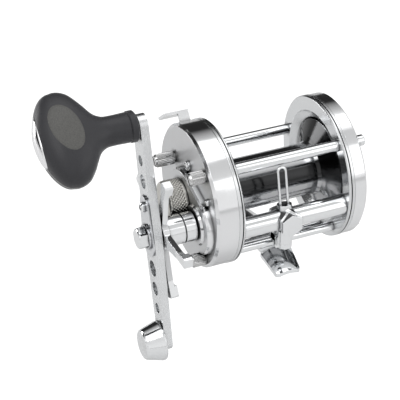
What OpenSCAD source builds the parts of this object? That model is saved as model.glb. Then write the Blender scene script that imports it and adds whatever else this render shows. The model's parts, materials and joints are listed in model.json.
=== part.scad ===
// Trolling reel with a level-wind line guide, a star drag and a single-knob handle.
// +X runs along the spool axis to the palm side, -Y is the line side, +Z is up.
// The origin is the centre of the foot's flat underside.

/* [Frame] */
// Height of the spool axis above the foot's flat underside
axis_h = 29.2; // [28.8:0.1:29.6]
// Outer radius of the side rings and covers
plate_r = 30; // [29.8:0.1:30.6]
// Distance between the inner faces of the two side rings
ring_gap = 45.6; // [45.6:0.2:50]
// Thickness of each side ring
ring_t = 2.7; // [2.7:0.1:3]
// Radius of the upper front pillar
front_pillar_r = 2.35; // [2:0.05:2.4]
// Radius of the rear pillar
rear_pillar_r = 2.2; // [1.9:0.05:2.4]
// Radius of the two lower pillars that carry the foot
foot_pillar_r = 2; // [1.8:0.05:2.1]

/* [Covers] */
// Depth of the gear side cover, ring to outer face
gear_cover_depth = 9.3; // [9.3:0.1:10]
// Depth of the palm side cover, ring to rim edge
palm_cover_depth = 5.7; // [5.7:0.1:6.4]
// Wall thickness of both covers
cover_wall = 1.2; // [1.1:0.05:1.3]
// Height of the raised pad over the gears
pad_h = 2.8; // [2.8:0.1:3.2]

/* [Spool] */
// Radius of the spool flanges
flange_r = 20; // [18:0.1:20.1]
// Radius of the spool arbor, where the line is wound
arbor_r = 10.8; // [9.5:0.1:12]
// Radius of the spool shaft in its bearings
shaft_r = 1.5; // [1.5:0.1:1.6]

/* [Gears] */
// Module of the main gear and pinion
gear_m = 0.45; // [0.45:0.01:0.46]
// Teeth on the main gear
main_teeth = 55; // [55:1:55]
// Teeth on the pinion
pinion_teeth = 11; // [11:1:11]
// Module of the level-wind gears
wind_m = 0.5; // [0.49:0.01:0.5]
// Teeth on the level-wind drive gear
wind_drive_teeth = 29; // [29:1:29]
// Teeth on the worm cog
worm_cog_teeth = 12; // [12:1:12]

/* [Handle] */
// Distance from the drive shaft to the knob spindle
knob_reach = 45.7; // [42:0.1:48]
// Width of the handle arm at its middle
arm_mid_w = 12; // [11:0.1:13]
// Width of the handle arm at its ends
arm_end_w = 8.5; // [8:0.1:9]
// Thickness of the handle arm
arm_t = 3.4; // [3:0.1:3.6]
// Angle of the handle arm from the rear, at rest
arm_angle = 79; // [0:1:359]
// Radius of the star drag at its tips
star_r = 26.5; // [20:0.5:28]
// Length of the knob head
knob_head_l = 38.5; // [36:0.5:41]

/* [Level wind] */
// Radius of the worm shield tube
tube_r = 4.1; // [4:0.05:4.2]
// Place of the line guide along the spool axis, at rest
guide_x = -3; // [-12:0.5:12]
// Height of the wire loop above its collar
loop_h = 16; // [12:0.5:16]

/* [Hidden] */
$fn = 96;

// Colours of the finishes
chrome = [0.80, 0.81, 0.83];
satin = [0.72, 0.73, 0.75];
dark_metal = [0.30, 0.31, 0.33];
brass = [0.78, 0.64, 0.33];
charcoal = [0.17, 0.17, 0.18];
fibre = [0.35, 0.22, 0.13];

// Places along the spool axis
ring_in = ring_gap / 2;
ring_out = ring_in + ring_t;
gear_face = -(ring_out + gear_cover_depth);
gear_inner = gear_face + 1.4;
pad_face = gear_face - pad_h;
pad_inner = pad_face + 1.4;
palm_edge = ring_out + palm_cover_depth;
bridge_out = -(ring_out + 1.6);
bridge_in = -(ring_out + 0.4);
boss_face = pad_face - 1;
cap_face = pad_face - 8.4;
arm_in = pad_face - 16.4;
arm_out = arm_in - arm_t;

// Meshed gear centres, in the plane across the spool axis
running_gap = 0.05;
pitch_sum = gear_m * (main_teeth + pinion_teeth) / 2;
wind_sum = wind_m * (wind_drive_teeth + worm_cog_teeth) / 2;
drive_angle = 198.9;
drive_c = pitch_sum * [cos(drive_angle), sin(drive_angle)];
worm_angle = 181.55;
worm_c = drive_c + wind_sum * [cos(worm_angle), sin(worm_angle)];

// Pillar and bar centres, as radius and angle from the rear
front_pillar = polar(25.6, 133.5);
rear_pillar = polar(26.5, 11);
guide_bar_c = polar(25.9, 230.5);
foot_pillar_a = [-7, -25.2];
foot_pillar_b = [7, -25.2];
guide_bar_r = 1.8;
tenon_r = 1.4;
screw_r = 0.85;

// Screw places on the gear side cover
bridge_post = [13.5, 11.3];
cover_screw_a = [-1.8, 15.2];
cover_screw_b = [-20.9, 8.5];

// Clutch lever: direction of its travel
lever_angle = 53;
yoke_out = bridge_out - 1.5;
yoke_in = bridge_out - 0.7;
yoke_post_y = 1.5;
yoke_post_z = 9.5;

// Anti-reverse dog pivot
dog_c = drive_c + polar(12.6, 290);

function polar(r, a) = [r * cos(a), r * sin(a)];
function arc(c, r, a0, a1, n) = [for (i = [0:n]) c + polar(r, a0 + (a1 - a0) * i / n)];

// ---------- shared shapes ----------

// Everything is drawn about the spool axis and lifted onto the foot
module reel() {
    translate([0, 0, axis_h]) children();
}

module at(p) {
    translate([0, p[0], p[1]]) children();
}

// Solid cylinder along X
module rod(x0, x1, r, r2 = -1) {
    translate([x0, 0, 0]) rotate([0, 90, 0])
        cylinder(h = x1 - x0, r1 = r, r2 = r2 < 0 ? r : r2);
}

// Hollow cylinder along X
module pipe(x0, x1, ro, ri) {
    difference() {
        rod(x0, x1, ro);
        rod(x0 - 1, x1 + 1, ri);
    }
}

// Turned part about X from [x, radius] points
module turned(points) {
    rotate([0, 90, 0]) rotate_extrude()
        polygon([for (p = points) [p[1], p[0]]]);
}

// Flat outline in the Y-Z plane, given thickness along X
module plate(x0, x1) {
    translate([x0, 0, 0]) rotate([90, 0, 90]) linear_extrude(x1 - x0) children();
}

// Straight bar with round ends between two points of the Y-Z plane
module link(x0, x1, p, q, rp, rq) {
    hull() {
        at(p) rod(x0, x1, rp, $fn = 40);
        at(q) rod(x0, x1, rq, $fn = 40);
    }
}

// Hexagonal prism along X
module hex(x0, x1, flats) {
    translate([x0, 0, 0]) rotate([0, 90, 0])
        cylinder(h = x1 - x0, r = flats / 2 / cos(30), $fn = 6);
}

// Serrated disc along X for knurled rims
module knurled(x0, x1, r, depth, n) {
    plate(x0, x1) polygon([for (i = [0:2 * n - 1])
        polar(i % 2 == 0 ? r : r - depth, i * 180 / n)]);
}

// Half the angle of an involute tooth at radius r
pressure = 20;
function inv(a) = tan(a) * 180 / PI - a;
function half_tooth(r, z, m, play) =
    let (base = z * m / 2 * cos(pressure))
    90 / z - play / (z * m) * 180 / PI + inv(pressure) - (r > base ? inv(acos(base / r)) : 0);

// Involute gear outline with a tooth centred on the +Y direction
module gear_outline(z, m, play) {
    rp = z * m / 2;
    radii = [rp - 1.05 * m, rp - 0.4 * m, rp, rp + 0.4 * m, rp + 0.8 * m];
    polygon([for (i = [0:z - 1])
        for (j = [0:9])
            let (r = radii[j < 5 ? j : 9 - j], h = half_tooth(r, z, m, play))
            polar(r, i * 360 / z + (j < 5 ? -h : h))]);
}

// Coil spring along X, drawn as a twisted band
module coil(x0, x1, r, wire, turns) {
    n = 5;
    translate([x0, 0, 0]) rotate([0, 90, 0])
        linear_extrude(x1 - x0, twist = 360 * turns, slices = round(turns * 14), $fn = 12)
            polygon(concat(
                arc([0, 0], r, 0, 120, n),
                arc([0, 0], r - wire, 120, 0, n)));
}

// ---------- frame ----------

// Ring profile with a conical line opening and a beaded rim; side is +1 or -1
module side_ring(side) {
    groove = 0.45;
    mouth_r = 24;
    throat_r = 20.5;
    turned([for (p = [
        [ring_in, mouth_r], [ring_in, plate_r - 0.5], [ring_in + 0.5, plate_r],
        [ring_in + 0.9, plate_r], [ring_in + 1.05, plate_r - groove],
        [ring_in + 1.25, plate_r - groove], [ring_in + 1.4, plate_r], [ring_out - 0.2, plate_r],
        [ring_out, plate_r - 0.2], [ring_out, throat_r], [ring_out - 0.4, throat_r]
    ]) [side * p[0], p[1]]]);
}

// Holes through a ring for the pillar tenons, and the seat of the worm bush
module ring_holes(side) {
    x0 = side > 0 ? ring_in - 1 : -ring_out - 1;
    for (p = [front_pillar, rear_pillar, guide_bar_c, foot_pillar_a, foot_pillar_b])
        at(p) rod(x0, x0 + ring_t + 2, tenon_r);
    at(worm_c) rod(x0, x0 + ring_t + 2, worm_seat_r);
}
worm_seat_r = 3.2;

module gear_side_ring() {
    color(satin) reel() difference() {
        union() {
            side_ring(-1);
            at(worm_c) rod(-ring_out, -ring_in, 4.6);
        }
        ring_holes(-1);
    }
}

module palm_side_ring() {
    color(satin) reel() difference() {
        union() {
            side_ring(1);
            at(worm_c) rod(ring_in, ring_out, 4.6);
        }
        ring_holes(1);
    }
}

// One pillar with a tenon at each end and a screw hole in each tenon
module pillar(r, gear_hole, palm_hole) {
    tenon_end = ring_out - 0.1;
    difference() {
        union() {
            rod(-ring_in, ring_in, r);
            rod(-tenon_end, tenon_end, tenon_r - 0.02);
        }
        if (gear_hole) rod(-tenon_end - 1, -ring_in + 5, screw_r);
        if (palm_hole) rod(ring_in - 5, tenon_end + 1, screw_r);
    }
}

// Screw holes for the foot, up into a lower pillar
foot_screw_x = 4.2;
module foot_screw_holes(r) {
    for (x = [-foot_screw_x, foot_screw_x])
        translate([x, 0, -foot_pillar_r - 1]) cylinder(h = foot_pillar_r + 1.4, r = r);
}

module frame_pillars() {
    color(chrome) reel() {
        at(front_pillar) pillar(front_pillar_r, true, true);
        at(rear_pillar) pillar(rear_pillar_r, false, true);
        for (p = [foot_pillar_a, foot_pillar_b])
            at(p) difference() {
                pillar(foot_pillar_r, false, false);
                foot_screw_holes(screw_r);
            }
    }
}

module level_wind_guide_bar() {
    color(chrome) reel() at(guide_bar_c) pillar(guide_bar_r, true, true);
}

// ---------- foot ----------

foot_t = axis_h + foot_pillar_a[1] - foot_pillar_r;
foot_w = 14;
foot_tip_w = 11.4;
foot_front = 22.6;
foot_rear = 34;
foot_flat = 9.5;
foot_seat = foot_flat + 0.4;
front_slope = 19;
rear_slope = 11;
saddle_r = 14;
tab_t = 1.4;

// Plan of the foot with rounded tab corners
module foot_plan() {
    corner = 2;
    hull() {
        for (x = [-1, 1]) {
            translate([x * (foot_tip_w / 2 - corner), -foot_front + corner]) circle(corner, $fn = 24);
            translate([x * (foot_tip_w / 2 - corner), foot_rear - corner]) circle(corner, $fn = 24);
            translate([x * (foot_w / 2 - 0.5), foot_flat]) circle(0.5, $fn = 16);
            translate([x * (foot_w / 2 - 0.5), -foot_flat]) circle(0.5, $fn = 16);
        }
    }
}

// Arched tab that dips towards its tip and sits on a round rod seat
module foot_tab(slope, reach) {
    translate([0, foot_flat, 0]) rotate([-slope, 0, 0]) difference() {
        translate([0, 0, -saddle_r]) rotate([-90, 0, 0])
            cylinder(h = reach, r = saddle_r + tab_t);
        translate([0, -5, -saddle_r]) rotate([-90, 0, 0]) cylinder(h = reach + 10, r = saddle_r);
        translate([-30, -5, -60]) cube([60, reach + 10, 60 - 5]);
    }
}

module foot() {
    color(chrome) difference() {
        intersection() {
            union() {
                translate([-foot_w / 2, -foot_seat, 0]) cube([foot_w, 2 * foot_seat, foot_t]);
                difference() {
                    union() {
                        mirror([0, 1, 0]) foot_tab(front_slope, 20);
                        foot_tab(rear_slope, 30);
                    }
                    // Nothing hangs below the flat seat
                    translate([-20, -foot_seat, -10]) cube([40, 2 * foot_seat, 10]);
                }
            }
            translate([0, 0, -15]) linear_extrude(30) foot_plan();
        }
        for (p = [foot_pillar_a, foot_pillar_b])
            for (x = [-foot_screw_x, foot_screw_x]) translate([x, p[0], 0]) {
                translate([0, 0, -1]) cylinder(h = foot_t + 2, r = 0.95);
                translate([0, 0, -0.01]) cylinder(h = 0.96, r1 = 1.9, r2 = 0.95);
            }
    }
}

// Countersunk screws through the foot into the lower pillars
module foot_screws() {
    color(satin) for (p = [foot_pillar_a, foot_pillar_b])
        for (x = [-foot_screw_x, foot_screw_x])
            translate([x, p[0], 0.1]) difference() {
                union() {
                    cylinder(h = 0.88, r1 = 1.74, r2 = screw_r);
                    cylinder(h = foot_t + 1.8, r = screw_r - 0.03);
                }
                translate([-0.25, -2, -0.1]) cube([0.5, 4, 0.4]);
            }
}

// ---------- level wind ----------

// Slot in the tube that lets the pawl reach the worm, facing down
slot_w = 2.6;

module worm_shield() {
    color(chrome) reel() at(worm_c) difference() {
        pipe(-ring_in, ring_in, tube_r, tube_r - 0.7);
        translate([-ring_in + 3, -slot_w / 2, -tube_r - 1]) cube([ring_gap - 6, slot_w, tube_r]);
    }
}

module worm_bushes() {
    color(brass) reel() at(worm_c) for (side = [-1, 1])
        mirror([side < 0 ? 1 : 0, 0, 0]) pipe(ring_in + 0.05, ring_out, worm_seat_r - 0.02, 1.55);
}

// Worm blank with its journals
worm_r = 2.5;
worm_journal_r = 1.5;
wind_x = [bridge_out - 2.3, bridge_out - 0.5];

module worm_shaft() {
    color(satin) reel() at(worm_c) {
        end = ring_in - 0.5;
        turned([
            [wind_x[0], 0], [wind_x[0], worm_journal_r], [-end, worm_journal_r], [-end, worm_r],
            [end, worm_r], [end, worm_journal_r], [ring_out - 0.2, worm_journal_r], [ring_out - 0.2, 0]
        ]);
    }
}

module worm_cog() {
    color("ivory") reel() at(worm_c) difference() {
        plate(wind_x[0] + 0.1, wind_x[1] - 0.1) rotate(worm_angle + 180 + 180 / worm_cog_teeth)
            gear_outline(worm_cog_teeth, wind_m, 0.07);
        rod(-40, -20, worm_journal_r);
    }
}

// Carriage: a barrel on the tube, a hexagonal block and the pawl housing below
barrel_r = 5.9;
carriage_bore = tube_r + 0.05;
housing_r = 3.1;
housing_y = 0.6;
pawl_bore = 1.35;
collar_z = 6.2;

module guide_carriage() {
    color(chrome) reel() translate([guide_x, worm_c[0], worm_c[1]]) difference() {
        union() {
            intersection() {
                rod(-4.6, 4.6, barrel_r);
                rotate([90, 0, 0]) rotate(30) cylinder(h = 20, r = 5.6, center = true, $fn = 6);
            }
            intersection() {
                translate([-5, -barrel_r - 0.7, -7]) cube([10, 6, 14]);
                rotate([90, 0, 0]) rotate(30) cylinder(h = 20, r = 4.9, center = true, $fn = 6);
            }
            rotate([-loop_lean, 0, 0]) cylinder(h = collar_z, r = 3);
            translate([0, housing_y, housing_z]) cylinder(h = -housing_z - 2.6, r = housing_r);
            // Fork that rides the guide bar
            translate([-1.6, housing_y, housing_z]) cube([3.2, fork_y - housing_y + guide_bar_r + 1, 1.4]);
            for (y = [-guide_bar_r - 1.1, guide_bar_r + 0.1])
                translate([-1.6, fork_y + y, -16.8]) cube([3.2, 1, 16.8 + housing_z + 0.2]);
        }
        rod(-10, 10, carriage_bore);
        translate([0, housing_y, -12]) cylinder(h = 10, r = pawl_bore);
        rotate([-loop_lean, 0, 0]) for (x = [-wire_gap / 2, wire_gap / 2])
            translate([x, 0, collar_z - 1.6]) cylinder(h = 4, r = wire_r);
    }
}
fork_y = guide_bar_c[0] - worm_c[0];
housing_z = -11.2;

// Wire loop that carries the line
wire_r = 0.62;
wire_gap = 3.4;
loop_lean = 11.5;

module line_guide_wire() {
    straight = loop_h - wire_gap / 2 - wire_r;
    r = wire_r - 0.02;
    color(chrome) reel() translate([guide_x, worm_c[0], worm_c[1]]) rotate([-loop_lean, 0, 0])
        translate([0, 0, collar_z]) {
            for (x = [-wire_gap / 2, wire_gap / 2])
                translate([x, 0, -1.5]) cylinder(h = straight + 1.5, r = r);
            translate([0, 0, straight]) rotate([90, 0, 0])
                rotate_extrude(angle = 180) translate([wire_gap / 2, 0]) circle(r, $fn = 32);
        }
}

// Cap screwed over the pawl housing
module pawl_cap() {
    color(chrome) reel() translate([guide_x, worm_c[0] + housing_y, worm_c[1]]) difference() {
        union() {
            translate([0, 0, -13.2]) cylinder(h = 13.2 + housing_z, r = housing_r);
            translate([0, 0, -13.9]) cylinder(h = 0.7, r1 = housing_r - 0.6, r2 = housing_r);
        }
        translate([0, 0, -12]) cylinder(h = 5, r = pawl_bore);
        translate([-4, -0.35, -14.5]) cube([8, 0.7, 1.1]);
    }
}

// Pawl: a round stem with a blade that follows the worm
module level_wind_pawl() {
    color(brass) reel() translate([guide_x, worm_c[0] + housing_y, worm_c[1]]) {
        translate([0, 0, -11.9]) cylinder(h = 7.4, r = pawl_bore - 0.05);
        translate([-0.9, -0.3, -4.8]) cube([1.8, 0.6, 2.1]);
    }
}

// ---------- gear case ----------

module bridge_plate() {
    post_end = gear_inner;
    color(satin) reel() difference() {
        union() {
            rod(bridge_out, bridge_in, plate_r - cover_wall - 0.2);
            at(bridge_post) rod(post_end, bridge_out + 0.1, 2);
            at(cover_screw_a) rod(post_end, bridge_out + 0.1, 1.7);
            at(cover_screw_b) rod(post_end, bridge_out + 0.1, 1.4);
            for (s = [-1, 1]) at([yoke_post_y, s * yoke_post_z]) rod(gear_inner + 0.2, bridge_out + 0.1, 0.8);
            at(dog_c) rod(bridge_out - 3.4, bridge_out + 0.1, 1);
        }
        rod(-40, -20, 4.2);
        at(drive_c) rod(-40, -20, 2.05);
        at(worm_c) rod(-40, -20, 2.2);
        for (p = [bridge_post, cover_screw_a]) at(p) rod(post_end - 1, post_end + 5, screw_r);
        at(cover_screw_b) rod(post_end - 1, post_end + 5, 0.7);
        for (p = [front_pillar, guide_bar_c]) at(p) rod(-40, -20, 1.3);
        // Notch that clears the wide part of the clutch lever
        rotate([lever_angle, 0, 0]) translate([-40, stem_r - lever_travel - 0.3, -1]) cube([20, 10, 2]);
    }
}

pad_r = 12.5;
pad_bevel = 0.8;
cap_neck_r = 6.6;
bearing_r = 4;
bush_r = 4.6;

module gear_side_cover() {
    color(chrome) reel() difference() {
        union() {
            turned([
                [-ring_out, 0], [-ring_out, plate_r - 0.15], [gear_face + 1, plate_r - 0.15],
                [gear_face, plate_r - 1.3], [gear_face, 0]
            ]);
            // Raised pad over the gears, with a bevelled edge
            hull() for (p = [[0, 0], drive_c]) at(p) turned([
                [pad_face, 0], [pad_face, pad_r - pad_bevel], [pad_face + pad_bevel, pad_r],
                [gear_face + 0.1, pad_r], [gear_face + 0.1, 0]
            ]);
            difference() {
                at(drive_c) rod(boss_face, pad_face + 0.1, 7.9, 8.6);
                // Room for the cast control cap's skirt
                rod(boss_face - 1, pad_face, cap_r + 0.2);
            }
            rod(pad_face - 5, pad_face + 0.1, cap_neck_r);
        }
        rod(gear_inner, -20, plate_r - cover_wall);
        link(pad_inner, gear_inner + 0.1, [0, 0], drive_c, pad_r - 1.4, pad_r - 1.4);
        rod(pad_face - 3.6, -20, bearing_r);
        rod(pad_face - 10, -20, 2.4);
        at(drive_c) rod(boss_face - 1, -20, bush_r);
        for (p = [front_pillar, guide_bar_c, bridge_post, cover_screw_a, cover_screw_b])
            at(p) rod(gear_face - 1, gear_inner + 1, 1.1);
        // Slot for the clutch lever
        rotate([lever_angle, 0, 0]) translate([lever_x[0] - 0.3, plate_r - 4, -0.95])
            cube([20, 8, 1.9]);
    }
}

// Round-headed screws that hold the bridge plate
module cover_screws() {
    color(chrome) reel() for (p = [cover_screw_a, cover_screw_b]) at(p) {
        head_r = p == cover_screw_a ? 2.1 : 1.5;
        stem_r = p == cover_screw_a ? screw_r : 0.7;
        difference() {
            union() {
                turned([
                    [gear_face, 0], [gear_face, head_r], [gear_face - 0.9, head_r],
                    [gear_face - 1.4, head_r - 0.5], [gear_face - 1.6, 0]
                ]);
                rod(gear_face - 0.1, gear_inner + 4, stem_r - 0.03);
            }
            rotate([35, 0, 0]) translate([gear_face - 2, -3, -0.3]) cube([1.3, 6, 0.6]);
        }
    }
}

// Knurled thumb screw: head from the cover face outwards, stem into the frame
module thumb_screw(p, head_l, stem_end) {
    r = 2.75;
    at(p) {
        difference() {
            union() {
                rod(gear_face - 0.9, gear_face, r - 0.45);
                knurled(gear_face - head_l + 0.9, gear_face - 0.9, r, 0.22, 28);
                rod(gear_face - head_l, gear_face - head_l + 0.9, r - 0.6, r - 0.2);
            }
            rotate([50, 0, 0]) translate([gear_face - head_l - 1, -4, -0.4]) cube([2.1, 8, 0.8]);
        }
        rod(gear_face - 0.1, stem_end, screw_r - 0.03);
    }
}

module thumb_screws() {
    color(chrome) reel() {
        thumb_screw(front_pillar, 7, -ring_in + 4);
        thumb_screw(guide_bar_c, 6.5, -ring_in + 4);
        thumb_screw(bridge_post, 9, gear_inner + 4);
    }
}

module drive_shaft_bush() {
    color(brass) reel() at(drive_c) pipe(boss_face, pad_inner, bush_r - 0.02, sleeve_r + running_gap);
}

// One shielded ball bearing: outer race, shields and inner race
module bearing(x0, x1) {
    turned([
        [x0, shaft_r + 0.04], [x0, shaft_r + 0.9], [x0 + 0.2, shaft_r + 1.0],
        [x0 + 0.2, bearing_r - 0.8], [x0, bearing_r - 0.7], [x0, bearing_r - 0.02],
        [x1, bearing_r - 0.02], [x1, bearing_r - 0.7], [x1 - 0.2, bearing_r - 0.8],
        [x1 - 0.2, shaft_r + 1.0], [x1, shaft_r + 0.9], [x1, shaft_r + 0.04]
    ]);
}

palm_bearing_x = [ring_out + 3.2, ring_out + 5.5];
gear_bearing_x = [pad_face - 3.6, pad_face - 1.2];

module spool_bearings() {
    color(satin) reel() {
        bearing(gear_bearing_x[0], gear_bearing_x[1]);
        bearing(palm_bearing_x[0], palm_bearing_x[1]);
    }
}

// Springs that press the clutch yoke towards the spool
module clutch_springs() {
    color(satin) reel() for (s = [-1, 1]) at([yoke_post_y, s * yoke_post_z])
        coil(gear_inner + 0.05, yoke_out - 0.05, 1.35, 0.35, 4);
}

// Hairpin spring behind the anti-reverse dog
module dog_spring() {
    color(satin) reel() at(dog_c) {
        pipe(bridge_out - 0.6, bridge_out - 0.1, 1.9, 1.3);
        rotate([-42, 0, 0]) translate([bridge_out - 0.6, 1.4, -0.25]) cube([0.5, 5.2, 0.5]);
    }
}

// ---------- palm side ----------

palm_dome = 2.4;
palm_dome_r = (pow(plate_r - 1.3, 2) + pow(palm_dome, 2)) / (2 * palm_dome);

// Points of the domed outer face, from the centre to the rim
function dome_points(n) =
    let (half = asin((plate_r - 1.3) / palm_dome_r))
    [for (i = [0:n]) let (a = half * i / n)
        [palm_edge + palm_dome - palm_dome_r * (1 - cos(a)), palm_dome_r * sin(a)]];

module palm_cover() {
    color(chrome) reel() difference() {
        union() {
            turned(concat(
                dome_points(7),
                [[palm_edge - 1, plate_r - 0.15], [ring_out, plate_r - 0.15], [ring_out, 0]]
            ));
            for (p = palm_screw_places) at(p) rod(palm_edge - 0.5, palm_edge + screw_seat, 2.6);
        }
        difference() {
            rod(20, palm_edge - 0.4, plate_r - cover_wall);
            rod(palm_bearing_x[0] - 0.1, palm_edge, bearing_r + 1.2);
            for (p = palm_screw_places) at(p) rod(ring_out, palm_edge, 1.9);
        }
        rod(20, palm_bearing_x[1], bearing_r);
        for (p = palm_screw_places) at(p) rod(20, palm_edge + 5, 1.05);
        translate([palm_edge - 1, -button_slot / 2, button_slot_z])
            cube([5, button_slot, button_travel + button_l + 0.2]);
    }
}
palm_screw_places = [front_pillar, rear_pillar, guide_bar_c];
screw_seat = 0.9;
button_slot = 3.2;
button_l = 5;
button_slot_z = 14;
button_travel = 3;

// Cheese-head screws through the palm cover into the pillars
module palm_screws() {
    head_in = palm_edge + screw_seat;
    color(chrome) reel() for (p = palm_screw_places) at(p) difference() {
        union() {
            turned([
                [head_in, 0], [head_in, 2.3], [head_in + 2.2, 2.3], [head_in + 2.7, 1.8], [head_in + 2.8, 0]
            ]);
            rod(ring_in + 1, head_in + 0.1, screw_r - 0.03);
        }
        rotate([20, 0, 0]) translate([head_in + 2, -3, -0.35]) cube([2, 6, 0.7]);
    }
}

drum_r = 12;
module brake_drum() {
    color(brass) reel() difference() {
        pipe(ring_out + 0.5, palm_edge - 0.4, drum_r + 1, drum_r);
        // Gap for the click tongue
        translate([click_x[0] - 0.3, -1.6, 0]) cube([10, 3.2, drum_r + 4]);
    }
}

// ---------- spool ----------

spool_end = ring_out;

module spool() {
    rim = 1.2;
    color(dark_metal) reel() difference() {
        turned(concat(
            [[-spool_end, 2.2], [-spool_end, flange_r - 0.3], [-spool_end + 0.3, flange_r]],
            [[-spool_end + rim, flange_r], [-spool_end + rim + 0.2, flange_r - 0.4]],
            [[-spool_end + 4.6, arbor_r + 2.4], [-spool_end + 5.6, arbor_r + 0.7], [-spool_end + 7, arbor_r]],
            [[spool_end - 7, arbor_r], [spool_end - 5.6, arbor_r + 0.7], [spool_end - 4.6, arbor_r + 2.4]],
            [[spool_end - rim - 0.2, flange_r - 0.4], [spool_end - rim, flange_r]],
            [[spool_end - 0.3, flange_r], [spool_end, flange_r - 0.3], [spool_end, 2.2]]
        ));
        // Dished ends
        for (side = [-1, 1]) mirror([side < 0 ? 1 : 0, 0, 0]) turned([
            [spool_end + 1, 4.4], [spool_end + 1, flange_r - 1.6], [spool_end - 0.9, flange_r - 1.6],
            [spool_end - 3.4, arbor_r + 0.6], [spool_end - 9, arbor_r - 1.6], [spool_end - 9, 4.4]
        ]);
    }
}

module spool_shaft() {
    thick = 2.18;
    color(satin) reel() difference() {
        union() {
            rod(-spool_end + 0.2, spool_end - 0.2, thick);
            rod(pad_face - 5, palm_bearing_x[1] - 0.2, shaft_r);
        }
        translate([drive_pin_x, 0, -5]) cylinder(h = 10, r = drive_pin_r);
    }
}
drive_pin_x = -ring_out - 0.95;
drive_pin_r = 0.45;

module spool_drive_pin() {
    color(satin) reel() translate([drive_pin_x, 0, -2.7]) cylinder(h = 5.4, r = drive_pin_r - 0.01);
}

// Toothed wheel that the click tongue rides on
click_teeth = 16;
click_x = [ring_out + 2.4, ring_out + 3];
module click_wheel() {
    color(brass) reel() difference() {
        plate(click_x[0], click_x[1]) polygon([for (i = [0:2 * click_teeth - 1])
            polar(i % 2 == 0 ? 5 : 4.3, 90 + 180 / click_teeth + i * 180 / click_teeth)]);
        rod(20, 40, shaft_r);
    }
}

// Hub with two radial pins for the brake blocks
block_r = 1.3;
module brake_holder() {
    color(satin) reel() difference() {
        union() {
            rod(ring_out, ring_out + 2, 3.4);
            translate([ring_out + 1, 0, 0]) rotate([90, 0, 0]) cylinder(h = 21, r = 0.6, center = true);
        }
        rod(20, 40, shaft_r);
    }
}

// Sliding weight on one of the pins
module brake_block(side) {
    translate([ring_out + 1, side * 5.8, 0]) rotate([side > 0 ? -90 : 90, 0, 0]) difference() {
        cylinder(h = 2.6, r = block_r);
        translate([0, 0, -1]) cylinder(h = 5, r = 0.65);
    }
}

module brake_block_a() {
    color(fibre) reel() brake_block(1);
}

module brake_block_b() {
    color(fibre) reel() brake_block(-1);
}

// Click button on the palm cover, with its tongue behind; off is the outer position
button_z = button_slot_z + button_travel;

module click_button() {
    top = palm_edge + palm_dome;
    color(dark_metal) reel() {
        translate([top - 0.2, -2.4, button_z - 0.2]) cube([1.2, 4.8, button_l + 0.4]);
        translate([palm_edge - 0.3, -button_slot / 2 + 0.1, button_z + 0.1])
            cube([top - palm_edge + 0.2, button_slot - 0.2, button_l - 0.2]);
    }
}

module click_tongue() {
    tongue_t = click_x[1] - click_x[0];
    color(brass) reel() {
        translate([click_x[0], -0.5, 8.2]) cube([tongue_t, 1, button_z + 2 - 8.2]);
        translate([click_x[1] - 0.1, -1.2, button_z + 0.4])
            cube([palm_edge - 0.2 - click_x[1], 2.4, button_l - 1]);
    }
}

// ---------- handle side rotating parts ----------

sleeve_r = 3.7;
spindle_r = 3;
gear_x = [bridge_out - 5.7, bridge_out - 3.6];
nut_x = [pad_face - 9.6, pad_face - 6];
handle_angle_c = polar(1, arm_angle);

module handle_frame() {
    reel() at(drive_c) children();
}

module drive_shaft() {
    flat = 2.2;
    collar = bridge_out - 0.4;
    color(satin) handle_frame() difference() {
        turned([
            [arm_out - 3.7, 0], [arm_out - 3.7, 2], [arm_out + 0.1, 2], [arm_out + 0.1, spindle_r],
            [collar, spindle_r], [collar, 2], [bridge_in - 0.1, 2], [bridge_in - 0.1, 0]
        ]);
        // Two flats that drive the handle arm
        for (a = [0, 180]) rotate([arm_angle + a, 0, 0])
            translate([arm_out - 1, flat, -4]) cube([arm_in - arm_out + 1, 4, 8]);
    }
}

module bored_gear(x0, x1, teeth, m, turn, play, bore) {
    difference() {
        plate(x0, x1) rotate(turn) gear_outline(teeth, m, play);
        rod(x0 - 1, x1 + 1, bore);
    }
}

module main_gear() {
    color(brass) handle_frame() difference() {
        bored_gear(gear_x[0], gear_x[1], main_teeth, gear_m, drive_angle + 180, 0.05, spindle_r + 0.02);
        // Recess for the first drag washer
        rod(gear_x[0] - 1, gear_x[0] + 0.5, 11);
    }
}

module level_wind_drive_gear() {
    color(brass) handle_frame()
        bored_gear(wind_x[0], wind_x[1], wind_drive_teeth, wind_m, worm_angle, 0.05, spindle_r + 0.02);
}

ratchet_teeth = 12;
ratchet_x = [bridge_out - 3.3, bridge_out - 2.4];
ratchet_r = 10.4;

// Saw-toothed wheel, with a gap facing the dog at rest
module ratchet_wheel() {
    color(satin) handle_frame() difference() {
        plate(ratchet_x[0], ratchet_x[1]) rotate(dog_gap_angle) polygon([for (i = [0:ratchet_teeth - 1])
            for (p = [[ratchet_r, 0], [ratchet_r - 1.6, 1.5], [ratchet_r - 1.6, 14], [ratchet_r, 20]])
                polar(p[0], i * 360 / ratchet_teeth + p[1] + 5)]);
        rod(-60, 0, spindle_r + 0.02);
    }
}
dog_gap_angle = 300;

// Dog that drops onto the ratchet; drawn lifted, as it is while winding
module anti_reverse_dog() {
    color(satin) reel() at(dog_c) difference() {
        link(ratchet_x[0], ratchet_x[1], [0, 0], [3.61, 3.64], 1.6, 0.45);
        rod(-60, 0, 1.05);
    }
}

// Fibre and metal drag discs between the main gear and the sleeve
module drag_stack_disc(i, ri, ro) {
    x = gear_x[0] + 0.5 - 0.5 * i;
    pipe(x - 0.48, x, ro, ri);
}

module drag_fibre_washers() {
    color(fibre) handle_frame() for (i = [0, 2]) drag_stack_disc(i, 3.2, 10.8);
}

module drag_metal_washers() {
    color(satin) handle_frame() for (i = [1, 3]) drag_stack_disc(i, 3.05, 10.6);
}

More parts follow.
